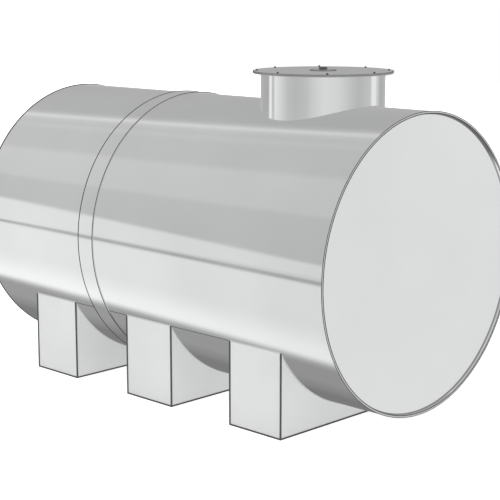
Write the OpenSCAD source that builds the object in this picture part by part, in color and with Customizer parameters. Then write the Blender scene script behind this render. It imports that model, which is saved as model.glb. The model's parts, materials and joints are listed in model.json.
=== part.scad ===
// Horizontal cylindrical water storage tank on three box saddles.
// Millimetres, Z up, X along the tank towards the manway end, ground at Z zero.

/* [Tank shell] */
// Outside diameter of the shell
shell_d = 1450; // [1350:10:1600]
// Length of the shell from rim to rim
shell_len = 2500; // [2300:10:2800]
// Thickness of the shell plates
shell_t = 10; // [6:1:14]
// Distance of the girth seam from mid-length, towards the far end
seam_offset = 361; // [240:1:500]

/* [Girth band] */
// Width of the band over the girth seam
band_w = 110; // [80:5:140]
// Thickness of the band
band_t = 6; // [4:0.5:10]
// Chamfer on the two outer edges of the band
band_chamfer = 2; // [1:0.5:3]

/* [End plates] */
// Thickness of the flat end plates
end_t = 10; // [6:1:16]
// Depth of the end plates inside the shell rims
end_recess = 20; // [12:1:40]
// Leg of the fillet weld round each end plate
end_weld_leg = 7; // [4:1:10]

/* [Saddles] */
// Width of a saddle along the tank
saddle_w = 333; // [260:1:400]
// Depth of a saddle across the tank
saddle_depth = 1250; // [1100:10:1300]
// Distance between saddle centres
saddle_pitch = 750; // [650:5:850]
// Thickness of the saddle side plates
saddle_t = 8; // [5:1:14]
// Thickness of the saddle base plates
saddle_base_t = 10; // [6:1:16]
// Clear height under the belly of the shell
belly_clear = 60; // [40:1:120]

/* [Manway] */
// Distance of the manway from mid-length, towards the near end
manway_offset = 606; // [500:1:700]
// Outside diameter of the manway neck
neck_d = 612; // [560:1:620]
// Wall thickness of the manway neck
neck_t = 6; // [4:0.5:10]
// Height of the flange underside above the crown of the shell
neck_h = 148; // [100:1:240]
// Leg of the fillet weld round the neck
neck_weld_leg = 8; // [5:1:12]
// Outside diameter of the flange and cover
flange_d = 691; // [676:1:740]
// Thickness of the flange ring
flange_t = 5.5; // [4:0.5:12]
// Thickness of the gasket
gasket_t = 1.5; // [1:0.5:4]
// Thickness of the cover plate
cover_t = 4.5; // [3:0.5:12]

/* [Cover bolts] */
// Number of cover bolts
bolt_count = 8; // [6:1:16]
// Diameter of the circle of bolts
bolt_circle_d = 648; // [640:1:660]
// Diameter of a bolt, fixed in the flange
bolt_d = 6; // [5:0.5:10]
// Clearance of the bolt holes on the diameter
bolt_hole_play = 1; // [0.5:0.5:2]
// Width across flats of the nuts
bolt_flats = 10; // [8:0.5:15]
// Height of a nut
bolt_nut_h = 5; // [4:0.5:9]
// Length of bolt that shows above its nut
bolt_tip = 3; // [1:0.5:6]

/* [Vent] */
// Diameter of the vent pad
vent_pad_d = 127; // [100:1:160]
// Thickness of the vent pad
vent_pad_t = 2; // [1.5:0.5:8]
// Outside diameter of the vent neck
vent_neck_d = 22; // [18:0.5:24]
// Wall thickness of the vent neck
vent_neck_t = 3; // [2:0.5:4]
// Height of the vent neck above its pad
vent_neck_h = 12; // [11.5:0.5:20]
// Width of the air slots across the top of the vent neck
vent_slot_w = 5; // [3:0.5:7]
// Depth of the air slots
vent_slot_h = 3; // [2:0.5:5]
// Diameter of the vent cap
vent_cap_d = 42; // [36:0.5:48]
// Height of the vent cap
vent_cap_h = 14.5; // [12:0.5:15]
// Wall thickness of the vent cap
vent_cap_t = 3.5; // [3:0.5:5]
// Chamfer on the top edge of the vent cap
vent_cap_chamfer = 2.5; // [1:0.5:3]

/* [Fits] */
// Gap left for the weld between round faces that meet
weld_gap = 0.3; // [0.2:0.1:0.5]

/* [Hidden] */
$fn = 240;

// Overrun of every cut past the face it opens
cut = 5;
// Sides of a hexagon
hex_sides = 6;
// Half of a size
half_share = 0.5;
// Arc of one rolled plate, and the middle angle of each, from the belly round by the back
plate_arc = 90;
belly_angle = 0;
back_angle = 90;
crown_angle = 180;
front_angle = 270;
// Turn that lays an upright axis along the tank
lay_angle = 90;
full_turn = 360;
// Steps round the weld that follows the neck
weld_step_count = 96;

shell_r = shell_d * half_share;
shell_in_r = shell_r - shell_t;
axis_z = belly_clear + shell_r;
far_x = -shell_len * half_share;
near_x = shell_len * half_share;
seam_x = -seam_offset;
near_face_x = near_x - end_recess;
far_face_x = far_x + end_recess;
crown_z = axis_z + shell_r;
neck_r = neck_d * half_share;
neck_bore_d = neck_d - 2 * neck_t;
flange_z = crown_z + neck_h;
gasket_z = flange_z + flange_t;
cover_z = gasket_z + gasket_t;
cover_top_z = cover_z + cover_t;
bolt_hole_d = bolt_d + bolt_hole_play;
hex_d = bolt_flats / cos(full_turn / hex_sides * half_share);
pad_top_z = cover_top_z + vent_pad_t;
vent_top_z = pad_top_z + vent_neck_h;
saddle_top_h = axis_z;
far_saddle_x = -saddle_pitch;
near_saddle_x = saddle_pitch;

tank_steel = [0.74, 0.75, 0.76];
plate_steel = [0.80, 0.81, 0.81];
weld_steel = [0.62, 0.62, 0.63];
dark_steel = [0.16, 0.16, 0.17];
gasket_rubber = [0.08, 0.08, 0.08];

// A round bar along the tank, from one X to another
module along(x_from, x_to, r) {
  translate([x_from, 0, axis_z])
    rotate([0, lay_angle, 0])
      cylinder(r = r, h = x_to - x_from);
}

// One rolled plate of a strake
module rolled_plate(x_from, x_to, middle) {
  translate([x_from, 0, axis_z])
    rotate([0, lay_angle, 0])
      rotate([0, 0, middle - plate_arc * half_share])
        rotate_extrude(angle = plate_arc)
          translate([shell_in_r, 0])
            square([shell_t, x_to - x_from]);
}

module far_plate(middle) {
  color(tank_steel)
    rolled_plate(far_x, seam_x, middle);
}

module near_plate(middle) {
  color(tank_steel)
    rolled_plate(seam_x, near_x, middle);
}

module far_crown_plate() {
  far_plate(crown_angle);
}

module far_front_plate() {
  far_plate(front_angle);
}

module far_belly_plate() {
  far_plate(belly_angle);
}

module far_back_plate() {
  far_plate(back_angle);
}

// The crown plate that the manway neck is set into
module near_crown_plate() {
  color(tank_steel)
    difference() {
      rolled_plate(seam_x, near_x, crown_angle);
      translate([manway_offset, 0, axis_z])
        cylinder(r = neck_r + weld_gap, h = shell_r + cut);
    }
}

module near_front_plate() {
  near_plate(front_angle);
}

module near_belly_plate() {
  near_plate(belly_angle);
}

module near_back_plate() {
  near_plate(back_angle);
}

// Strap round the joint of the two strakes, its outer edges chamfered
module girth_band() {
  band_r = shell_r + weld_gap;
  color(tank_steel)
    translate([seam_x - band_w * half_share, 0, axis_z])
      rotate([0, lay_angle, 0])
        rotate_extrude()
          polygon([
            [band_r, 0],
            [band_r + band_t - band_chamfer, 0],
            [band_r + band_t, band_chamfer],
            [band_r + band_t, band_w - band_chamfer],
            [band_r + band_t - band_chamfer, band_w],
            [band_r, band_w]
          ]);
}

module far_end_plate() {
  color(plate_steel)
    along(far_face_x, far_face_x + end_t, shell_in_r - weld_gap);
}

module near_end_plate() {
  color(plate_steel)
    along(near_face_x - end_t, near_face_x, shell_in_r - weld_gap);
}

// Fillet in the corner of an end plate and the shell, drawn on the upright axis
module end_fillet() {
  outer = shell_in_r - weld_gap;
  rotate_extrude()
    polygon([
      [outer, weld_gap],
      [outer - end_weld_leg, weld_gap],
      [outer, weld_gap + end_weld_leg]
    ]);
}

module far_end_weld() {
  color(weld_steel)
    translate([far_face_x, 0, axis_z])
      rotate([0, -lay_angle, 0])
        end_fillet();
}

module near_end_weld() {
  color(weld_steel)
    translate([near_face_x, 0, axis_z])
      rotate([0, lay_angle, 0])
        end_fillet();
}

// Neck tube, its lower end cut to the inside of the shell
module manway_neck() {
  color(tank_steel)
    difference() {
      translate([manway_offset, 0, axis_z])
        cylinder(r = neck_r, h = gasket_z - axis_z);
      translate([manway_offset, 0, axis_z - cut])
        cylinder(d = neck_bore_d, h = gasket_z - axis_z + 2 * cut);
      along(manway_offset - neck_d, manway_offset + neck_d, shell_in_r);
    }
}

// Height of the shell, with the weld gap, at a distance across from the axis
function shell_height(y) = axis_z + sqrt((shell_r + weld_gap) ^ 2 - y ^ 2);

// A point at a radius and angle about the neck, lifted off the shell
function weld_point(r, a, lift) = [
  manway_offset + r * cos(a),
  r * sin(a),
  shell_height(r * sin(a)) + lift
];

// Fillet that follows the curve on which the neck meets the shell
module manway_weld() {
  root_r = neck_r + weld_gap;
  angles = [for (i = [0 : weld_step_count - 1]) i * full_turn / weld_step_count];
  points = [
    for (a = angles)
      each [
        weld_point(root_r, a, 0),
        weld_point(root_r + neck_weld_leg, a, 0),
        weld_point(root_r, a, neck_weld_leg)
      ]
  ];
  corner_count = 3;
  point_count = weld_step_count * corner_count;
  faces = [
    for (i = [0 : weld_step_count - 1], c = [0 : corner_count - 1])
      let (
        p = i * corner_count + c,
        q = i * corner_count + (c + 1) % corner_count,
        p_next = (p + corner_count) % point_count,
        q_next = (q + corner_count) % point_count
      )
        each [[p, q, q_next], [p, q_next, p_next]]
  ];
  color(weld_steel)
    polyhedron(points = points, faces = faces);
}

// Through holes on the circle of bolts
module bolt_circle(z, h) {
  for (i = [0 : bolt_count - 1])
    translate([manway_offset, 0, z])
      rotate([0, 0, i * full_turn / bolt_count])
        translate([bolt_circle_d * half_share, 0, 0])
          cylinder(d = bolt_hole_d, h = h);
}

// A ring plate about the neck with the bolt holes through it
module bolted_ring(z, h, bore_d) {
  difference() {
    translate([manway_offset, 0, z])
      cylinder(d = flange_d, h = h);
    translate([manway_offset, 0, z - cut])
      cylinder(d = bore_d, h = h + 2 * cut);
    bolt_circle(z - cut, h + 2 * cut);
  }
}

module manway_flange() {
  color(tank_steel)
    bolted_ring(flange_z, flange_t, neck_d + 2 * weld_gap);
}

module manway_gasket() {
  color(gasket_rubber)
    bolted_ring(gasket_z, gasket_t, neck_bore_d);
}

module manway_cover() {
  color(plate_steel)
    bolted_ring(cover_z, cover_t, vent_neck_d + 2 * weld_gap);
}

// One bolt up through the flange, gasket and cover, with its nut seated at Z zero
module cover_bolt() {
  grip = flange_t + gasket_t + cover_t;
  translate([0, 0, -grip])
    cylinder(d = bolt_d, h = grip + bolt_nut_h + bolt_tip);
  cylinder(d = hex_d, h = bolt_nut_h, $fn = hex_sides);
}

module cover_bolts() {
  color(dark_steel)
    for (i = [0 : bolt_count - 1])
      translate([manway_offset, 0, cover_top_z])
        rotate([0, 0, i * full_turn / bolt_count])
          translate([bolt_circle_d * half_share, 0, 0])
            cover_bolt();
}

module vent_pad() {
  color(tank_steel)
    translate([manway_offset, 0, cover_top_z])
      difference() {
        cylinder(d = vent_pad_d, h = vent_pad_t);
        translate([0, 0, -cut])
          cylinder(d = vent_neck_d + 2 * weld_gap, h = vent_pad_t + 2 * cut);
      }
}

// Vent tube through the cover and pad, with crossed air slots at its top
module vent_neck() {
  color(dark_steel)
    translate([manway_offset, 0, 0])
      difference() {
        translate([0, 0, cover_z])
          cylinder(d = vent_neck_d, h = vent_top_z - cover_z);
        translate([0, 0, cover_z - cut])
          cylinder(d = vent_neck_d - 2 * vent_neck_t, h = vent_top_z - cover_z + 2 * cut);
        for (a = [0, lay_angle])
          translate([0, 0, vent_top_z - vent_slot_h])
            rotate([0, 0, a])
              translate([-vent_neck_d, -vent_slot_w * half_share, 0])
                cube([2 * vent_neck_d, vent_slot_w, vent_slot_h + cut]);
      }
}

// Turned cap, hollow below, that sits on the vent neck
module vent_cap() {
  cap_r = vent_cap_d * half_share;
  skirt = vent_cap_h - vent_cap_t;
  color(dark_steel)
    translate([manway_offset, 0, vent_top_z])
      rotate_extrude()
        polygon([
          [0, 0],
          [cap_r - vent_cap_t, 0],
          [cap_r - vent_cap_t, -skirt],
          [cap_r, -skirt],
          [cap_r, vent_cap_t - vent_cap_chamfer],
          [cap_r - vent_cap_chamfer, vent_cap_t],
          [0, vent_cap_t]
        ]);
}

// A flat plate of a saddle, cut to the shell that it carries
module cradle_cut(x) {
  difference() {
    children();
    along(x - saddle_w, x + saddle_w, shell_r + weld_gap);
  }
}

// Front or back plate, as wide as the saddle
module saddle_face(x, y) {
  color(plate_steel)
    cradle_cut(x)
      translate([x - saddle_w * half_share, y, 0])
        cube([saddle_w, saddle_t, saddle_top_h]);
}

module saddle_front(x) {
  saddle_face(x, -saddle_depth * half_share);
}

module saddle_back(x) {
  saddle_face(x, saddle_depth * half_share - saddle_t);
}

// Web across the tank, between the front and back plates
module saddle_web(x, web_x) {
  color(plate_steel)
    cradle_cut(x)
      translate([web_x, saddle_t - saddle_depth * half_share, 0])
        cube([saddle_t, saddle_depth - 2 * saddle_t, saddle_top_h]);
}

module saddle_left_web(x) {
  saddle_web(x, x - saddle_w * half_share);
}

module saddle_right_web(x) {
  saddle_web(x, x + saddle_w * half_share - saddle_t);
}

// Base plate inside the four sides
module saddle_base(x) {
  color(plate_steel)
    translate([x - saddle_w * half_share + saddle_t, saddle_t - saddle_depth * half_share, 0])
      cube([saddle_w - 2 * saddle_t, saddle_depth - 2 * saddle_t, saddle_base_t]);
}

far_crown_plate();
far_front_plate();
far_belly_plate();
far_back_plate();
near_crown_plate();
near_front_plate();
near_belly_plate();
near_back_plate();
girth_band();
far_end_plate();
near_end_plate();
far_end_weld();
near_end_weld();
manway_neck();
manway_weld();
manway_flange();
manway_gasket();
manway_cover();
cover_bolts();
vent_pad();
vent_neck();
vent_cap();
saddle_front(far_saddle_x);  // far_saddle_front
saddle_back(far_saddle_x);  // far_saddle_back
saddle_left_web(far_saddle_x);  // far_saddle_left_web
saddle_right_web(far_saddle_x);  // far_saddle_right_web
saddle_base(far_saddle_x);  // far_saddle_base
saddle_front(0);  // middle_saddle_front
saddle_back(0);  // middle_saddle_back
saddle_left_web(0);  // middle_saddle_left_web
saddle_right_web(0);  // middle_saddle_right_web
saddle_base(0);  // middle_saddle_base
saddle_front(near_saddle_x);  // near_saddle_front
saddle_back(near_saddle_x);  // near_saddle_back
saddle_left_web(near_saddle_x);  // near_saddle_left_web
saddle_right_web(near_saddle_x);  // near_saddle_right_web
saddle_base(near_saddle_x);  // near_saddle_base
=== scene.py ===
"""Looks of a horizontal steel water tank on three box saddles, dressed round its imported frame.

Metres, in the frame of the CAD part: X along the tank towards the manway end, Z up, ground at zero.
"""

import json
import math

import bmesh
import bpy
from mathutils import Matrix, Vector

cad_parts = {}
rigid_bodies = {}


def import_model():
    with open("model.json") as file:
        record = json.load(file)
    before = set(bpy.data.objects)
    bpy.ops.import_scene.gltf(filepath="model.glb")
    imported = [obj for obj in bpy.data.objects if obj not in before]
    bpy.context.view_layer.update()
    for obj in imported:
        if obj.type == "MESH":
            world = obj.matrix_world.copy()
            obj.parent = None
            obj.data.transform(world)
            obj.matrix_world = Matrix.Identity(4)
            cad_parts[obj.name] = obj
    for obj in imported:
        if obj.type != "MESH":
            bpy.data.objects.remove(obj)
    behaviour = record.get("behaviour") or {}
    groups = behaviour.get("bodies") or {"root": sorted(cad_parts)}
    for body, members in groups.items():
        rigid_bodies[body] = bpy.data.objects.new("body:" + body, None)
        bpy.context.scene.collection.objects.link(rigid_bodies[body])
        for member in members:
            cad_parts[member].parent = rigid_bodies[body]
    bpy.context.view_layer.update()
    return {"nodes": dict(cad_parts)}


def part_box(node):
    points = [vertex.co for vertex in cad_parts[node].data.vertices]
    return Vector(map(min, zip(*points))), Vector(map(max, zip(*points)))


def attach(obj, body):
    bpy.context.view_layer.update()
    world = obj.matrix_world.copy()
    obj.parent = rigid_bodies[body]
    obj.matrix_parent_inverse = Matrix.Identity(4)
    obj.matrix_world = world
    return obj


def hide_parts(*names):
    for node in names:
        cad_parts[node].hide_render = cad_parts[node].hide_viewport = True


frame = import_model()
scene = bpy.context.scene

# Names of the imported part's nodes
SADDLES = ("far", "middle", "near")
SHELL_PLATES = ("crown_plate", "front_plate", "belly_plate", "back_plate")
SADDLE_PLATES = ("front", "back", "left_web", "right_web", "base")

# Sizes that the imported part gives
far_low, far_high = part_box("far_front_plate")
near_low, near_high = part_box("near_front_plate")
band_low, band_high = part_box("girth_band")
neck_low, neck_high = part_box("manway_neck")
flange_low, flange_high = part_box("manway_flange")
cover_low, cover_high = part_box("manway_cover")
pad_low, pad_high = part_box("vent_pad")
saddle_corners = [(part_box(f"{name}_saddle_front")[0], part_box(f"{name}_saddle_back")[1]) for name in SADDLES]
AXIS_Z = (near_low.z + near_high.z) / 2
MANWAY_X = (cover_low.x + cover_high.x) / 2
NECK_R = (neck_high.x - neck_low.x) / 2
FLANGE_R = (flange_high.x - flange_low.x) / 2
COVER_R = (cover_high.x - cover_low.x) / 2
PAD_R = (pad_high.x - pad_low.x) / 2

# Sizes that its boxes don't show
SHELL_R = 0.725
SHELL_T = 0.010
INNER_R = SHELL_R - SHELL_T
BAND_T = 0.006
NECK_T = 0.006
BOLT_CIRCLE_R = 0.324
BOLT_R = 0.003
BOLT_TIP = 0.003
NUT_FLATS = 0.010
NUT_H = 0.005
NUT_TURNS = [math.radians(turn) for turn in (4, 37, 18, 52, 9, 26, 44, 13)]
THREAD_PITCH = 0.001
THREAD_DEPTH = 0.0005

# Weld beads: their legs and radii, and the ripple that each pass leaves
END_BEAD_LEG = 0.007
NECK_BEAD_LEG = 0.004
BAND_BEAD_LEG = 0.003
SADDLE_BEAD_LEG = 0.005
SEAM_R = 0.0048
BELLY_SEAM_R = 0.0016
NEAR_RIM_BEAD_R = 0.0015
NEAR_INNER_BEAD_R = 0.002
FAR_RIM_BEAD_R = 0.0047
STRAP_BEAD_R = 0.0026
STRAP_NEAR_BEAD_R = 0.0017
PAD_FOOT_BEAD_R = 0.0026
PAD_EDGE_BEAD_R = 0.0016
LID_BEAD_R = 0.0009
PASS_STEPS = 4
RIPPLE_SHARE = 0.07

# How often the first pass of a bead is doubled
TANK_DOUBLINGS = 9
NECK_DOUBLINGS = 8
DEEP_DOUBLINGS = 7
WIDE_DOUBLINGS = 6
BELLY_DOUBLINGS = 6
SEAM_DOUBLINGS = 5

# Sections of a bead, in shares of its leg or radius
ROUND_SIDES = 8
ROUND_ANGLES = [math.tau * i / ROUND_SIDES for i in range(ROUND_SIDES)]
ROUND_PROFILE = [(math.cos(angle), math.sin(angle)) for angle in ROUND_ANGLES]
CORNER_PROFILE = [(-0.3, -0.3), (-0.3, 1.0), (0.38, 0.74), (0.74, 0.38), (1.0, -0.3)]

# Edge rounding and mesh fineness
RIM_ROUND = 0.0015
PLATE_ROUND = 0.002
SMALL_ROUND = 0.0006
ROUND_SEGMENTS = 2
ROUND_SHAPE = 0.5
EDGE_STRIP = 0.006
RIM_STRIP = 0.0024
SHARP_ANGLE = math.radians(35)
SHELL_STEPS = 288
RING_STEPS = 192
SMALL_STEPS = 32
MERGE = 1e-6
NODE_MERGE = 1e-5
OPENING_CUTS = 24
OPENING_MARGIN = 1.1

# Noises of the finishes: features a metre, depth of the grain and the middle of a noise's range
CLOUD_SCALE = 2.3
SWAY_SCALE = 1.4
FLOOR_SCALE = 0.8
GRAIN_DEPTH = 1e-7
# How far the edge of the painted shade wanders
PAINTED_SHADE_SPREAD = 0.1
NOISE_LOW = 0.3
NOISE_HIGH = 0.7

# Ways and axes
X_AXIS = Vector((1, 0, 0))
Y_AXIS = Vector((0, 1, 0))
Z_AXIS = Vector((0, 0, 1))
FRONT = Vector((0, -1, 0))
TANK_AXIS = Vector((0, 0, AXIS_Z))
NECK_AXIS = Vector((MANWAY_X, 0, 0))


# Meshes

def on_tank(x, r, angle=0.0):
    """A point at a place along the tank, a radius, and an angle from the front up over the crown."""
    return Vector((x, -r * math.cos(angle), AXIS_Z + r * math.sin(angle)))


def on_neck(r, z):
    """A point at a radius from the manway's upright axis and a height."""
    return Vector((MANWAY_X + r, 0, z))


def shell_z(y, r=SHELL_R):
    """Height of the upper half of a round face of the shell, at a distance across from the axis."""
    return AXIS_Z + math.sqrt(r * r - y * y)


def belly_z(y):
    """Height of the shell's underside at a distance across from the axis."""
    return 2 * AXIS_Z - shell_z(y)


def held(profile, strip, closed=True):
    """A profile with a point close by each corner, which keeps the shading of its long faces true."""
    points = []
    for a, b in zip(profile, profile[1:] + (profile[:1] if closed else [])):
        length = math.dist(a, b)
        points.append(a)
        if length > 3 * strip:
            for share in (strip / length, 1 - strip / length):
                points.append((a[0] + (b[0] - a[0]) * share, a[1] + (b[1] - a[1]) * share))
    return points if closed else points + profile[-1:]


def drawn(points, closed):
    """A bmesh that holds a profile as a line of edges."""
    bm = bmesh.new()
    verts = [bm.verts.new(p) for p in points]
    for pair in zip(verts, verts[1:] + (verts[:1] if closed else [])):
        bm.edges.new(pair)
    return bm


def closed_up(bm):
    """Merges the seams and poles of a shape, caps its open ends and turns its faces outwards."""
    bmesh.ops.remove_doubles(bm, verts=bm.verts, dist=MERGE)
    bmesh.ops.holes_fill(bm, edges=bm.edges)
    bmesh.ops.recalc_face_normals(bm, faces=bm.faces)
    return bm


def spun(points, centre, axis, steps, closed=True):
    """A profile spun a full turn. A closed one gives a ring, an open one that ends on the axis a solid."""
    bm = drawn(points, closed)
    bmesh.ops.spin(
        bm, geom=bm.verts[:] + bm.edges[:], cent=centre, axis=axis, angle=math.tau, steps=steps,
        use_merge=True,
    )
    return closed_up(bm)


def tank_ring(x_from, x_to, r_from, r_to):
    """A tube about the tank's axis."""
    profile = held([(x_from, r_from), (x_from, r_to), (x_to, r_to), (x_to, r_from)], RIM_STRIP)
    return spun([on_tank(x, r) for x, r in profile], TANK_AXIS, X_AXIS, SHELL_STEPS)


def neck_ring(r_from, r_to, z_from, z_to):
    """A tube about the manway's axis, or a disc where its inner radius is zero."""
    closed = r_from > 0
    profile = held([(r_from, z_from), (r_to, z_from), (r_to, z_to), (r_from, z_to)], EDGE_STRIP, closed)
    return spun([on_neck(r, z) for r, z in profile], NECK_AXIS, Z_AXIS, RING_STEPS, closed)


def tank_edge_bead(x, r, bead_r):
    """A thin smooth bead about the tank's axis, along an edge."""
    profile = [on_tank(x + bead_r * a, r + bead_r * b) for a, b in ROUND_PROFILE]
    return spun(profile, TANK_AXIS, X_AXIS, SHELL_STEPS)


def neck_edge_bead(r, z, bead_r):
    """A thin smooth bead about the manway's axis, along an edge."""
    profile = [on_neck(r + bead_r * a, z + bead_r * b) for a, b in ROUND_PROFILE]
    return spun(profile, NECK_AXIS, Z_AXIS, RING_STEPS)


def round_off(bm, edges, width):
    """Rounds some edges."""
    bmesh.ops.bevel(
        bm, geom=edges, offset=width, segments=ROUND_SEGMENTS, profile=ROUND_SHAPE, affect="EDGES",
        material=-1, clamp_overlap=True,
    )


def round_sharp_edges(bm, width):
    """Rounds every sharp edge."""
    sharp = [e for e in bm.edges if len(e.link_faces) == 2 and e.calc_face_angle() > SHARP_ANGLE]
    round_off(bm, sharp, width)


def mark(bm, finish_index, is_there):
    """Gives the faces at a place another finish of the piece."""
    for face in bm.faces:
        if is_there(face.calc_center_median()):
            face.material_index = finish_index


def joined(parts):
    """One bmesh that holds several."""
    whole = bmesh.new()
    for part in parts:
        mesh = bpy.data.meshes.new("part")
        part.to_mesh(mesh)
        part.free()
        whole.from_mesh(mesh)
        bpy.data.meshes.remove(mesh)
    return whole


def shown(name, bm, *materials):
    """A smooth-shaded object from a bmesh, sharp at its true edges."""
    mesh = bpy.data.meshes.new(name)
    bm.to_mesh(mesh)
    bm.free()
    mesh.shade_smooth()
    mesh.set_sharp_from_angle(angle=SHARP_ANGLE)
    for material in materials:
        mesh.materials.append(material)
    obj = bpy.data.objects.new(name, mesh)
    scene.collection.objects.link(obj)
    return obj


def fitted(obj, slot, *nodes):
    """Gives a piece its place on the tank, and hides the CAD nodes that it stands for."""
    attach(obj, "root")
    if nodes:
        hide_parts(*nodes)


def cut_opening(obj, cutter_bm):
    """Cuts a closed shape out of a piece for good."""
    cutter = shown("cutter", cutter_bm)
    cut = obj.modifiers.new("opening", "BOOLEAN")
    cut.operation = "DIFFERENCE"
    cut.solver = "EXACT"
    cut.object = cutter
    mesh = bpy.data.meshes.new_from_object(obj.evaluated_get(bpy.context.evaluated_depsgraph_get()))
    obj.modifiers.clear()
    obj.data = mesh
    mesh.set_sharp_from_angle(angle=SHARP_ANGLE)
    bpy.data.objects.remove(cutter)


# Materials

def shader_tree(name):
    """A new material with its node tree and its shader."""
    material = bpy.data.materials.new(name)
    material.use_nodes = True
    return material, material.node_tree, material.node_tree.nodes["Principled BSDF"]


def noise(tree, scale, detail=3.0):
    """A noise on Object coordinates, with its own scale along each axis, in features a metre."""
    coords = tree.nodes.new("ShaderNodeTexCoord")
    mapping = tree.nodes.new("ShaderNodeMapping")
    mapping.inputs["Scale"].default_value = scale
    texture = tree.nodes.new("ShaderNodeTexNoise")
    texture.inputs["Scale"].default_value = 1.0
    texture.inputs["Detail"].default_value = detail
    tree.links.new(coords.outputs["Object"], mapping.inputs["Vector"])
    tree.links.new(mapping.outputs["Vector"], texture.inputs["Vector"])
    return texture.outputs["Fac"]


def even_noise(tree, scale, detail=3.0):
    """A noise with the same scale along all three axes."""
    return noise(tree, (scale, scale, scale), detail)


def ranged(tree, value, low, high, from_low=NOISE_LOW, from_high=NOISE_HIGH):
    """A number mapped from one range, or the middle of a noise's, to another."""
    node = tree.nodes.new("ShaderNodeMapRange")
    node.inputs["From Min"].default_value = from_low
    node.inputs["From Max"].default_value = from_high
    node.inputs["To Min"].default_value = low
    node.inputs["To Max"].default_value = high
    tree.links.new(value, node.inputs["Value"])
    return node.outputs["Result"]


def graded(tree, value, stops):
    """A number mapped along a line of colours."""
    node = tree.nodes.new("ShaderNodeValToRGB")
    elements = node.color_ramp.elements
    while len(elements) < len(stops):
        elements.new(1.0)
    for element, (place, colour) in zip(elements, stops):
        element.position = place
        element.color = (*colour, 1)
    tree.links.new(value, node.inputs["Fac"])
    return node.outputs["Color"]


def clouded(tree, value, dark, light):
    """A noise mapped between two colours."""
    return graded(tree, value, ((NOISE_LOW, dark), (NOISE_HIGH, light)))


def worked(tree, operation, a, b):
    """A sum or another piece of arithmetic on two numbers."""
    node = tree.nodes.new("ShaderNodeMath")
    node.operation = operation
    tree.links.new(a, node.inputs[0])
    tree.links.new(b, node.inputs[1])
    return node.outputs["Value"]


def bumped(tree, height, depth, below=None):
    """A bump of that depth, over another one."""
    node = tree.nodes.new("ShaderNodeBump")
    node.inputs["Distance"].default_value = depth
    tree.links.new(height, node.inputs["Height"])
    if below:
        tree.links.new(below, node.inputs["Normal"])
    return node.outputs["Normal"]


def steel(name, dark, light, smooth, rough, grain, line_share=0.02, sway_depth=1e-4, metallic=1.0):
    """Bare steel: a clouded tone, grain along its finish lines and the slight sway of rolled plate."""
    material, tree, shader = shader_tree(name)
    cloud = even_noise(tree, CLOUD_SCALE)
    lines = noise(tree, grain, detail=4.0)
    sway = even_noise(tree, SWAY_SCALE, detail=1.0)
    tree.links.new(clouded(tree, cloud, dark, light), shader.inputs["Base Color"])
    cloud_gloss = ranged(tree, cloud, smooth, rough)
    line_gloss = ranged(tree, lines, -line_share, line_share)
    tree.links.new(worked(tree, "ADD", cloud_gloss, line_gloss), shader.inputs["Roughness"])
    sway_bump = bumped(tree, sway, sway_depth)
    tree.links.new(bumped(tree, lines, GRAIN_DEPTH, sway_bump), shader.inputs["Normal"])
    shader.inputs["Metallic"].default_value = metallic
    return material


def speckled(tree, shader, smooth, rough, scale, depth):
    """Gives a shader the gloss and the bump of a close grain."""
    specks = even_noise(tree, scale)
    tree.links.new(ranged(tree, specks, smooth, rough), shader.inputs["Roughness"])
    tree.links.new(bumped(tree, specks, depth), shader.inputs["Normal"])
    return specks


def mottled(name, dark, light, smooth, rough, scale=260, depth=3e-5, metallic=1.0, shine=0.5):
    """A close-grained finish: scaled, blackened or pressed."""
    material, tree, shader = shader_tree(name)
    specks = speckled(tree, shader, smooth, rough, scale, depth)
    tree.links.new(clouded(tree, specks, dark, light), shader.inputs["Base Color"])
    shader.inputs["Metallic"].default_value = metallic
    shader.inputs["Specular IOR Level"].default_value = shine
    return material


def painted_shade_by_height(name, crown, foot, heights, smooth, rough, scale, depth):
    """Close-grained steel with painted shade: one tone low down and another high up, which turns between two
    heights, the darker one painted where shade falls.
    """
    material, tree, shader = shader_tree(name)
    specks = speckled(tree, shader, smooth, rough, scale, depth)
    coords = tree.nodes.new("ShaderNodeTexCoord")
    place = tree.nodes.new("ShaderNodeSeparateXYZ")
    tree.links.new(coords.outputs["Object"], place.inputs["Vector"])
    height = ranged(tree, place.outputs["Z"], 0, 1, *heights)
    # Painted shade: the tone turns with height, with a ragged edge
    painted_shade_tone = worked(tree, "ADD", height, ranged(tree, specks, -PAINTED_SHADE_SPREAD, PAINTED_SHADE_SPREAD))
    tree.links.new(graded(tree, painted_shade_tone, ((0.0, foot), (1.0, crown))), shader.inputs["Base Color"])
    shader.inputs["Metallic"].default_value = 1.0
    return material


# Finishes

ROUND_THE_TANK = (420, 2.5, 2.5)
ROUND_THE_NECK = (2.5, 2.5, 420)
UP_THE_PLATE = (260, 260, 12)
ACROSS_THE_LID = (12, 260, 260)
# Heights where the painted shade inside the rim and along the belly turns
IN_THE_RIM = (AXIS_Z + 0.44, AXIS_Z + 0.50)
AT_THE_BELLY = (AXIS_Z - 0.40, AXIS_Z - 0.35)

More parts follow.
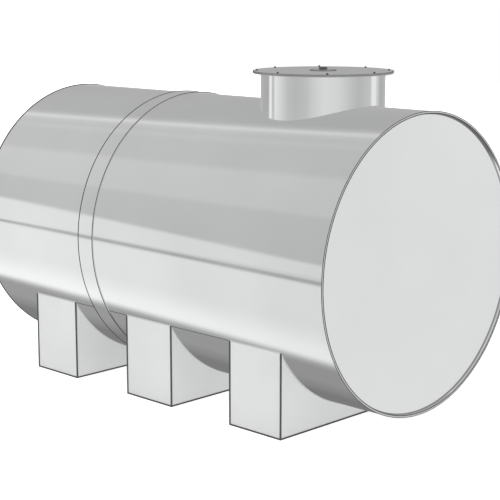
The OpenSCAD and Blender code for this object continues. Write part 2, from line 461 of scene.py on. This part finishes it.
shell_finish = steel(
    "polished_shell", dark=(0.629, 0.632, 0.634), light=(0.661, 0.665, 0.668), smooth=0.05, rough=0.08,
    grain=ROUND_THE_TANK,
)
neck_finish = steel(
    "polished_neck", dark=(0.629, 0.632, 0.634), light=(0.661, 0.665, 0.668), smooth=0.06, rough=0.09,
    grain=ROUND_THE_NECK,
)
end_finish = steel(
    "satin_end", dark=(0.70, 0.706, 0.706), light=(0.735, 0.741, 0.741), smooth=0.21, rough=0.26,
    grain=UP_THE_PLATE, line_share=0.005,
)
lid_finish = steel(
    "satin_lid", dark=(0.52, 0.53, 0.53), light=(0.58, 0.59, 0.59), smooth=0.19, rough=0.26,
    grain=ACROSS_THE_LID, line_share=0.01,
)
saddle_finish = steel(
    "blasted_plate", dark=(0.62, 0.626, 0.626), light=(0.68, 0.686, 0.686), smooth=0.34, rough=0.44,
    grain=UP_THE_PLATE, line_share=0.01, metallic=0.45,
)
# Inside of the shell: painted shade, dark under the crown and pale low down
inside_painted_shade = painted_shade_by_height(
    "inside_painted_crown_shade", crown=(0.32, 0.32, 0.323), foot=(0.66, 0.664, 0.667), heights=IN_THE_RIM,
    smooth=0.06, rough=0.10, scale=40, depth=1e-6,
)
# Strap edges and beads: painted shade, dark along the belly and paler over the crown
strap_weld_painted_shade = painted_shade_by_height(
    "strap_weld_painted_belly_shade", crown=(0.54, 0.544, 0.548), foot=(0.20, 0.20, 0.203), heights=AT_THE_BELLY,
    smooth=0.34, rough=0.50, scale=300, depth=3e-5,
)
# End beads: painted shade, dark high up under the rim's overhang and paler low down
end_weld_painted_shade = painted_shade_by_height(
    "end_weld_painted_top_shade", crown=(0.17, 0.17, 0.172), foot=(0.34, 0.34, 0.343), heights=IN_THE_RIM,
    smooth=0.34, rough=0.50, scale=300, depth=4e-5,
)
edge_finish = mottled(
    "cut_edge", dark=(0.12, 0.12, 0.122), light=(0.22, 0.22, 0.223), smooth=0.38, rough=0.55, metallic=0.9,
)
rim_finish = mottled(
    "cut_rim", dark=(0.50, 0.50, 0.504), light=(0.62, 0.62, 0.625), smooth=0.38, rough=0.50,
)
plate_rim_finish = mottled(
    "turned_rim", dark=(0.36, 0.36, 0.364), light=(0.46, 0.46, 0.465), smooth=0.38, rough=0.50,
)
corner_finish = mottled(
    "dark_corner", dark=(0.06, 0.06, 0.062), light=(0.09, 0.09, 0.092), smooth=0.50, rough=0.65,
    metallic=0.0, shine=0.1,
)
seam_finish = mottled(
    "blackened_seam", dark=(0.02, 0.02, 0.021), light=(0.05, 0.05, 0.052), smooth=0.50, rough=0.65,
    metallic=0.0, shine=0.1,
)
ground_finish = mottled(
    "ground_weld", dark=(0.48, 0.485, 0.49), light=(0.58, 0.585, 0.59), smooth=0.24, rough=0.36,
    scale=300, depth=2e-5,
)
bolt_finish = mottled(
    "black_steel", dark=(0.035, 0.035, 0.038), light=(0.075, 0.075, 0.08), smooth=0.34, rough=0.50,
    scale=180, metallic=0.75,
)
cap_finish = mottled(
    "dull_black_cap", dark=(0.08, 0.08, 0.083), light=(0.13, 0.13, 0.135), smooth=0.34, rough=0.50,
    scale=180, metallic=0.75,
)
gasket_finish = mottled(
    "sheet_rubber", dark=(0.012, 0.012, 0.012), light=(0.03, 0.03, 0.03), smooth=0.62, rough=0.80,
    scale=420, depth=1e-4, metallic=0.0,
)


# Shell and girth strap

def strake(x_from, x_to):
    """A rolled tube with its rims rounded, its cut edges marked and its inside marked for painted shade."""
    bm = tank_ring(x_from, x_to, INNER_R, SHELL_R)
    round_sharp_edges(bm, RIM_ROUND)
    mark(bm, 2, lambda co: math.hypot(co.y, co.z - AXIS_Z) < SHELL_R - SHELL_T / 2)
    mark(bm, 1, lambda co: min(co.x - x_from, x_to - co.x) < RIM_ROUND / 2)
    return bm


far_shell = shown("far_strake", strake(far_low.x, far_high.x), shell_finish, rim_finish, inside_painted_shade)
fitted(far_shell, "tank_steel", *[f"far_{plate}" for plate in SHELL_PLATES])

near_bm = strake(near_low.x, near_high.x)
for i in range(OPENING_CUTS + 1):
    cut_x = MANWAY_X + NECK_R * OPENING_MARGIN * (2 * i / OPENING_CUTS - 1)
    bmesh.ops.bisect_plane(
        near_bm, geom=near_bm.verts[:] + near_bm.edges[:] + near_bm.faces[:], dist=MERGE,
        plane_co=(cut_x, 0, 0), plane_no=X_AXIS,
    )
near_shell = shown("near_strake", near_bm, shell_finish, rim_finish, inside_painted_shade)
cut_opening(near_shell, neck_ring(0, NECK_R, AXIS_Z, neck_high.z))
fitted(near_shell, "tank_steel", *[f"near_{plate}" for plate in SHELL_PLATES])

band_bm = tank_ring(band_low.x, band_high.x, SHELL_R, SHELL_R + BAND_T)
round_sharp_edges(band_bm, RIM_ROUND)
# The strap's edge faces take the painted belly shade
mark(band_bm, 1, lambda co: min(co.x - band_low.x, band_high.x - co.x) < RIM_ROUND)
fitted(shown("girth_strap", band_bm, shell_finish, strap_weld_painted_shade), "tank_steel", "girth_band")


# Weld beads

def bead(
    root, along, across, leg, doublings,
    centre=None, axis=None, turn=math.tau, run=None, profile=CORNER_PROFILE,
):
    """A weld bead in or on a corner: one rippled pass, doubled until it fills a turn or a straight run.

    The root is the corner where the bead starts, along and across the two ways it spreads from there.
    """
    bm = drawn([root + (along * a + across * b) * leg for a, b in profile], True)
    geom = bm.verts[:] + bm.edges[:]
    passes = 2 ** doublings
    if run:
        step = run / passes
        bmesh.ops.spin(
            bm, geom=geom, cent=root, axis=run, dvec=step / PASS_STEPS, angle=0.0, steps=PASS_STEPS,
        )
    else:
        step = turn / passes
        bmesh.ops.spin(bm, geom=geom, cent=centre, axis=axis, angle=step, steps=PASS_STEPS)
        arm = root - centre
        arm -= axis * arm.dot(axis)
    for vert in bm.verts:
        if run:
            share = (vert.co - root).dot(run) / run.dot(step)
            foot = root + step * share
        else:
            reach = vert.co - centre
            angle = math.atan2(axis.dot(arm.cross(reach)), arm.dot(reach))
            share = angle / step
            foot = centre + Matrix.Rotation(angle, 3, axis) @ (root - centre)
        vert.co += (vert.co - foot) * RIPPLE_SHARE * math.cos(math.tau * share)
    for i in range(doublings):
        copies = bmesh.ops.duplicate(bm, geom=bm.verts[:] + bm.edges[:] + bm.faces[:])["geom"]
        verts = [part for part in copies if isinstance(part, bmesh.types.BMVert)]
        if run:
            bmesh.ops.translate(bm, verts=verts, vec=step * 2 ** i)
        else:
            bmesh.ops.rotate(bm, verts=verts, cent=centre, matrix=Matrix.Rotation(step * 2 ** i, 3, axis))
    return closed_up(bm)


def seam(root, along, across, r, doublings, run):
    """A round weld seam on a corner, along a straight run."""
    return bead(root, along, across, r, doublings, run=run, profile=ROUND_PROFILE)


for end, facing in (("far", -X_AXIS), ("near", X_AXIS)):
    face_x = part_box(f"{end}_end_plate")[0 if end == "far" else 1].x
    root = on_tank(face_x, INNER_R)
    end_bead = bead(root, facing, -FRONT, END_BEAD_LEG, TANK_DOUBLINGS, TANK_AXIS, X_AXIS)
    fitted(shown(f"{end}_end_bead", end_bead, end_weld_painted_shade), "weld_steel", f"{end}_end_weld")

band_beads = joined([
    bead(on_tank(x, SHELL_R), facing, FRONT, BAND_BEAD_LEG, TANK_DOUBLINGS, TANK_AXIS, X_AXIS)
    for x, facing in ((band_low.x, -X_AXIS), (band_high.x, X_AXIS))
])
fitted(shown("girth_strap_beads", band_beads, strap_weld_painted_shade), "weld_steel")

far_rim_beads = joined([tank_edge_bead(far_low.x, r, FAR_RIM_BEAD_R) for r in (SHELL_R, INNER_R)])
fitted(shown("far_rim_beads", far_rim_beads, corner_finish), "weld_steel")
near_rim_beads = joined([
    tank_edge_bead(near_high.x, SHELL_R, NEAR_RIM_BEAD_R),
    tank_edge_bead(near_high.x, INNER_R, NEAR_INNER_BEAD_R),
])
fitted(shown("near_rim_beads", near_rim_beads, seam_finish), "weld_steel")
strap_edge_beads = joined([
    tank_edge_bead(band_low.x, SHELL_R + BAND_T, STRAP_BEAD_R),
    tank_edge_bead(band_high.x, SHELL_R + BAND_T, STRAP_NEAR_BEAD_R),
])
fitted(shown("girth_strap_edge_beads", strap_edge_beads, seam_finish), "weld_steel")

neck_root = on_neck(NECK_R, AXIS_Z + SHELL_R)
neck_bead = bead(neck_root, X_AXIS, Z_AXIS, NECK_BEAD_LEG, NECK_DOUBLINGS, NECK_AXIS, Z_AXIS)
for vert in neck_bead.verts:
    vert.co.z += shell_z(vert.co.y) - shell_z(0)
fitted(shown("manway_bead", neck_bead, ground_finish), "weld_steel", "manway_weld")

saddle_beads = []
saddle_seams = []
for low, high in saddle_corners:
    wide = X_AXIS * (high.x - low.x)
    deep = Y_AXIS * (high.y - low.y)
    for y in (low.y, high.y):
        slope = Vector((0, y, shell_z(y) - AXIS_Z)).normalized()
        up_the_shell = Vector((0, math.copysign(slope.z, y), abs(slope.y)))
        root = Vector((low.x, y, belly_z(y)))
        saddle_beads.append(bead(root, up_the_shell, -Z_AXIS, SADDLE_BEAD_LEG, WIDE_DOUBLINGS, run=wide))
    reach = math.asin(low.y / SHELL_R)
    for x, facing in ((low.x, -X_AXIS), (high.x, X_AXIS)):
        root = on_tank(x, SHELL_R, reach - math.pi / 2)
        down = (root - TANK_AXIS - X_AXIS * x).normalized()
        saddle_beads.append(bead(
            root, facing, down, SADDLE_BEAD_LEG, DEEP_DOUBLINGS, TANK_AXIS, X_AXIS, turn=2 * reach,
        ))
    for x in (low.x, high.x):
        foot = Vector((x, low.y, SEAM_R / 2))
        saddle_seams.append(seam(foot, X_AXIS, Z_AXIS, SEAM_R, DEEP_DOUBLINGS, deep))
        for y in (low.y, high.y):
            tall = Z_AXIS * belly_z(y)
            saddle_seams.append(seam(Vector((x, y, 0)), X_AXIS, Y_AXIS, SEAM_R, SEAM_DOUBLINGS, tall))
    for y in (low.y, high.y):
        foot = Vector((low.x, y, SEAM_R / 2))
        saddle_seams.append(seam(foot, Y_AXIS, Z_AXIS, SEAM_R, SEAM_DOUBLINGS, wide))
fitted(shown("saddle_beads", joined(saddle_beads), ground_finish), "weld_steel")
fitted(shown("saddle_seams", joined(saddle_seams), corner_finish), "weld_steel")

far_saddle, middle_saddle, near_saddle = saddle_corners
belly_gaps = (
    (far_saddle[1].x, band_low.x),
    (band_high.x, middle_saddle[0].x),
    (middle_saddle[1].x, near_saddle[0].x),
)
belly_seams = []
for x_from, x_to in belly_gaps:
    for y in (near_saddle[0].y, near_saddle[1].y):
        root = Vector((x_from, y, belly_z(y)))
        run = X_AXIS * (x_to - x_from)
        belly_seams.append(seam(root, Y_AXIS, Z_AXIS, BELLY_SEAM_R, BELLY_DOUBLINGS, run))
fitted(shown("belly_seams", joined(belly_seams), seam_finish), "weld_steel")


# Manway

neck_bm = neck_ring(NECK_R - NECK_T, NECK_R, AXIS_Z + SHELL_R, neck_high.z)
for vert in neck_bm.verts:
    if vert.co.z < AXIS_Z + SHELL_R + MERGE:
        vert.co.z = shell_z(vert.co.y, INNER_R)
fitted(shown("manway_tube", neck_bm, neck_finish), "tank_steel", "manway_neck")


def round_plate(name, r_from, r_to, low, high, finish, side_finish):
    """A turned ring or disc about the manway's axis with its rim rounded, its edges and its side marked."""
    bm = neck_ring(r_from, r_to, low.z, high.z)
    round_sharp_edges(bm, SMALL_ROUND)
    mark(bm, 1, lambda co: math.hypot(co.x - MANWAY_X, co.y) > r_to - EDGE_STRIP)
    mark(bm, 2, lambda co: math.hypot(co.x - MANWAY_X, co.y) > r_to - SMALL_ROUND / 2)
    return shown(name, bm, finish, edge_finish, side_finish)


manway_ring = round_plate(
    "manway_ring", NECK_R, FLANGE_R, flange_low, flange_high, neck_finish, plate_rim_finish,
)
fitted(manway_ring, "tank_steel", "manway_flange")
manway_lid = round_plate("manway_lid", 0, COVER_R, cover_low, cover_high, lid_finish, plate_rim_finish)
fitted(manway_lid, "plate_steel", "manway_cover")
lid_bead = neck_edge_bead(COVER_R, cover_high.z - LID_BEAD_R / 2, LID_BEAD_R)
fitted(shown("lid_edge_bead", lid_bead, seam_finish), "weld_steel")


def hex_nut():
    """A hexagonal nut on Z zero with both its ends chamfered."""
    bm = bmesh.new()
    corner_r = NUT_FLATS / math.sqrt(3)
    bmesh.ops.create_cone(bm, cap_ends=True, segments=6, radius1=corner_r, radius2=corner_r, depth=NUT_H)
    bmesh.ops.translate(bm, verts=bm.verts, vec=(0, 0, NUT_H / 2))
    rims = [e for e in bm.edges if abs(e.verts[0].co.z - e.verts[1].co.z) < MERGE]
    round_off(bm, rims, SMALL_ROUND)
    return bm


def threaded_tip():
    """The end of a bolt above its nut, with its thread as close ridges."""
    root_r = BOLT_R - THREAD_DEPTH
    top_z = NUT_H + BOLT_TIP
    profile = [(0, NUT_H / 2), (root_r, NUT_H / 2)]
    for i in range(round(BOLT_TIP / THREAD_PITCH)):
        z = NUT_H + i * THREAD_PITCH
        profile += [(root_r, z), (BOLT_R, z + THREAD_PITCH / 2)]
    profile += [(root_r, top_z), (0, top_z)]
    return spun([Vector((r, 0, z)) for r, z in profile], Vector(), Z_AXIS, SMALL_STEPS, closed=False)


bolts = []
for i, turn in enumerate(NUT_TURNS):
    bolt = joined([hex_nut(), threaded_tip()])
    angle = math.tau * i / len(NUT_TURNS)
    bolt_x = MANWAY_X + BOLT_CIRCLE_R * math.cos(angle)
    bolt_y = BOLT_CIRCLE_R * math.sin(angle)
    bmesh.ops.rotate(bolt, verts=bolt.verts, cent=(0, 0, 0), matrix=Matrix.Rotation(turn, 3, "Z"))
    bmesh.ops.translate(bolt, verts=bolt.verts, vec=Vector((bolt_x, bolt_y, cover_high.z)))
    bolts.append(bolt)
fitted(shown("cover_bolt_set", joined(bolts), bolt_finish), "dark_steel", "cover_bolts")

vent_disc = round_plate("vent_disc", 0, PAD_R, pad_low, pad_high, lid_finish, edge_finish)
fitted(vent_disc, "tank_steel", "vent_pad")
pad_beads = joined([
    neck_edge_bead(PAD_R, pad_low.z, PAD_FOOT_BEAD_R),
    neck_edge_bead(PAD_R, pad_high.z, PAD_EDGE_BEAD_R),
])
fitted(shown("vent_disc_beads", pad_beads, corner_finish), "weld_steel")


# Nodes whose own shape stays

def dressed(node, finish, rounding=0.0):
    """Gives a CAD node its finish, and rounds its edges."""
    obj = frame["nodes"][node]
    for material_slot in obj.material_slots:
        material_slot.material = finish
    if rounding:
        weld = obj.modifiers.new("merge", "WELD")
        weld.merge_threshold = NODE_MERGE
        bevel = obj.modifiers.new("rounding", "BEVEL")
        bevel.width = rounding
        bevel.segments = ROUND_SEGMENTS
        bevel.limit_method = "ANGLE"
        bevel.angle_limit = SHARP_ANGLE


for end in ("far", "near"):
    dressed(f"{end}_end_plate", end_finish)
for saddle in SADDLES:
    for plate in SADDLE_PLATES:
        dressed(f"{saddle}_saddle_{plate}", saddle_finish, PLATE_ROUND)
dressed("manway_gasket", gasket_finish)
dressed("vent_neck", cap_finish, SMALL_ROUND / 2)
dressed("vent_cap", cap_finish, SMALL_ROUND)


# Floor and light

FLOOR_HALF = 20
FLOOR_DARK = (0.78, 0.78, 0.78)
FLOOR_LIGHT = (0.82, 0.82, 0.82)
FLOOR_ROUGHNESS = (0.85, 0.95)
FLOOR_GLOW = 0.82
FLOOR_SHINE = 0.1


def pale_floor():
    """Pale matt floor, lit from within like a light table."""
    material, tree, shader = shader_tree("pale_floor")
    cloud = even_noise(tree, FLOOR_SCALE)
    tone = clouded(tree, cloud, FLOOR_DARK, FLOOR_LIGHT)
    tree.links.new(tone, shader.inputs["Base Color"])
    tree.links.new(tone, shader.inputs["Emission Color"])
    tree.links.new(ranged(tree, cloud, *FLOOR_ROUGHNESS), shader.inputs["Roughness"])
    shader.inputs["Emission Strength"].default_value = FLOOR_GLOW
    shader.inputs["Specular IOR Level"].default_value = FLOOR_SHINE
    return material


floor_bm = bmesh.new()
bmesh.ops.create_grid(floor_bm, x_segments=1, y_segments=1, size=FLOOR_HALF)
floor = shown("studio_floor", floor_bm, pale_floor())


def sun(name, towards, energy, degrees):
    """A sun that shines from a way, and as wide as an angle."""
    data = bpy.data.lights.new(name, "SUN")
    data.energy = energy
    data.angle = math.radians(degrees)
    obj = bpy.data.objects.new(name, data)
    obj.rotation_euler = Vector(towards).to_track_quat("Z", "Y").to_euler()
    scene.collection.objects.link(obj)
    return obj


sun("key", towards=(0.2, 0.0, 0.98), energy=2.0, degrees=40)
fill = sun("side_fill", towards=(1.0, 0.0, 0.15), energy=0.29, degrees=20)
fill.data.use_shadow = False


# The studio that the steel mirrors

# Greys of the room, by the share of the way from the horizon in front, overhead, to the one behind
ROOM_GREYS = (
    (0.0, 0.74), (0.185, 0.77), (0.205, 0.85), (0.35, 0.87), (0.38, 0.78), (0.50, 0.775), (0.525, 0.82),
    (0.552, 0.77), (0.58, 0.82), (0.60, 1.02), (0.622, 0.72), (0.645, 0.635), (0.78, 0.60), (0.90, 0.54),
    (1.0, 0.49),
)

# Greys of the ground, by the share of the way from the same horizon, underfoot, to the one behind
GROUND_GREYS = (
    (0.04, 1.0), (0.0552, 0.92), (0.0612, 0.58), (0.0715, 0.58), (0.079, 1.10), (0.25, 1.09), (0.30, 1.16),
    (0.36, 1.27), (0.398, 1.28), (0.415, 0.96), (0.432, 0.60), (0.455, 0.45), (0.54, 0.44), (0.60, 0.36),
    (0.66, 0.27), (0.80, 0.23),
)

# Greys of the pale panels, by the share of a turn round about
PANEL_GREYS = (
    (0.147, 0.60), (0.166, 0.64), (0.172, 1.26), (0.188, 1.26), (0.196, 0.78), (0.210, 0.78), (0.217, 1.20),
    (0.256, 1.02), (0.308, 0.78), (0.350, 0.72), (0.408, 0.78), (0.444, 0.92), (0.50, 1.05), (0.569, 0.99),
    (0.642, 0.78), (0.683, 0.70), (0.764, 0.82), (0.772, 1.20), (0.806, 1.20), (0.817, 0.90), (0.835, 0.84),
    (0.846, 0.62),
)

# The way that the middle of the panels' line of greys faces, and the one a quarter turn on
PANEL_MIDDLE = (0.70, -0.714, 0)
PANEL_QUARTER = (0.714, 0.70, 0)

# Ranges of a ray's way along X, over which the studio changes towards one end
FAR_END = (-0.8, -0.6)
PANEL_END = (-0.80, -0.66)
FOLD_START = (-0.5, -0.3)
NEAR_END = (0.1, 0.3)

# What changes over them, and the heights where ground, panels and room meet
SPREADS = (1.09, 0.91)
ROOM_LIGHTS = (1.04, 0.92)
PANEL_TOPS = (0.10, 0.01)
PANEL_FOOT = (-0.105, -0.10)
PANEL_TOP_FADE = (-0.01, 0.02)

# Colour sockets of a mix node
MIX_A = 6
MIX_B = 7
MIX_RESULT = 2


def greys(stops):
    """Places along a line of greys."""
    return [(place, (light, light, light)) for place, light in stops]


def studio_world():
    """A soft grey room with a strip of light, pale panels low round about, and the ground."""
    world = bpy.data.worlds.new("studio")
    world.use_nodes = True
    tree = world.node_tree
    new, link = tree.nodes.new, tree.links.new
    coords = new("ShaderNodeTexCoord")

    def along(*way):
        """How far a ray goes one way."""
        node = new("ShaderNodeVectorMath")
        node.operation = "DOT_PRODUCT"
        link(coords.outputs["Generated"], node.inputs[0])
        node.inputs[1].default_value = way
        return node.outputs["Value"]

    def mixed(share, a, b=None):
        """One tone that gives way to another, or to white."""
        node = new("ShaderNodeMix")
        node.data_type = "RGBA"
        link(share, node.inputs["Factor"])
        link(a, node.inputs[MIX_A])
        if b:
            link(b, node.inputs[MIX_B])
        else:
            node.inputs[MIX_B].default_value = (1, 1, 1, 1)
        return node.outputs[MIX_RESULT]

    def shaded(value, value_from, value_to, stops):
        """A line of greys that a number runs along."""
        return graded(tree, ranged(tree, value, 0, 1, value_from, value_to), greys(stops))

    side, rise = along(1, 0, 0), along(0, 0, 1)
    forward, backward = along(0, -1, 0), along(0, 1, 0)
    spread = ranged(tree, side, *SPREADS, *FAR_END)
    folded_share = ranged(tree, side, 0, 1, *FOLD_START)
    fold = worked(tree, "SUBTRACT", worked(tree, "MAXIMUM", forward, backward), forward)
    ahead = worked(tree, "ADD", forward, worked(tree, "MULTIPLY", folded_share, fold))
    lift = worked(tree, "MULTIPLY", worked(tree, "ARCTAN2", rise, ahead), spread)
    room_light = ranged(tree, side, *ROOM_LIGHTS, *FAR_END)
    room = worked(tree, "MULTIPLY", room_light, shaded(lift, 0, math.pi, ROOM_GREYS))
    ground = worked(tree, "MULTIPLY", spread, shaded(lift, 0, -math.pi, GROUND_GREYS))
    around = worked(tree, "ARCTAN2", along(*PANEL_QUARTER), along(*PANEL_MIDDLE))
    panels = shaded(around, -math.pi, math.pi, PANEL_GREYS)
    bright_ground = mixed(ranged(tree, side, 0, 1, *NEAR_END), ground)
    low = mixed(ranged(tree, rise, 0, 1, *PANEL_FOOT), bright_ground, panels)
    over_panels = worked(tree, "SUBTRACT", rise, ranged(tree, side, *PANEL_TOPS, *PANEL_END))
    surroundings = mixed(ranged(tree, over_panels, 0, 1, *PANEL_TOP_FADE), low, room)
    rays = new("ShaderNodeLightPath")
    link(mixed(rays.outputs["Is Camera Ray"], surroundings), tree.nodes["Background"].inputs["Color"])
    return world


scene.world = studio_world()
scene.view_settings.view_transform = "Standard"


# Camera

CAMERA_PLACE = (5.19426, -5.19035, 2.08717)
CAMERA_AZIMUTH = math.radians(44.435)
CAMERA_ELEVATION = math.radians(10.738)
FOCAL_PIXELS = 1404.58
PICTURE_PIXELS = 500
SENSOR_MM = 36

camera_data = bpy.data.cameras.new("camera")
camera_data.sensor_width = SENSOR_MM
camera_data.lens = SENSOR_MM * FOCAL_PIXELS / PICTURE_PIXELS
camera = bpy.data.objects.new("camera", camera_data)
camera.location = CAMERA_PLACE
backwards = Vector((
    math.sin(CAMERA_AZIMUTH) * math.cos(CAMERA_ELEVATION),
    -math.cos(CAMERA_AZIMUTH) * math.cos(CAMERA_ELEVATION),
    math.sin(CAMERA_ELEVATION),
))
camera.rotation_euler = backwards.to_track_quat("Z", "Y").to_euler()
scene.collection.objects.link(camera)
scene.camera = camera

# The steel mirrors the studio alone
for obj in scene.objects:
    if obj.type in ("MESH", "LIGHT"):
        obj.visible_glossy = False
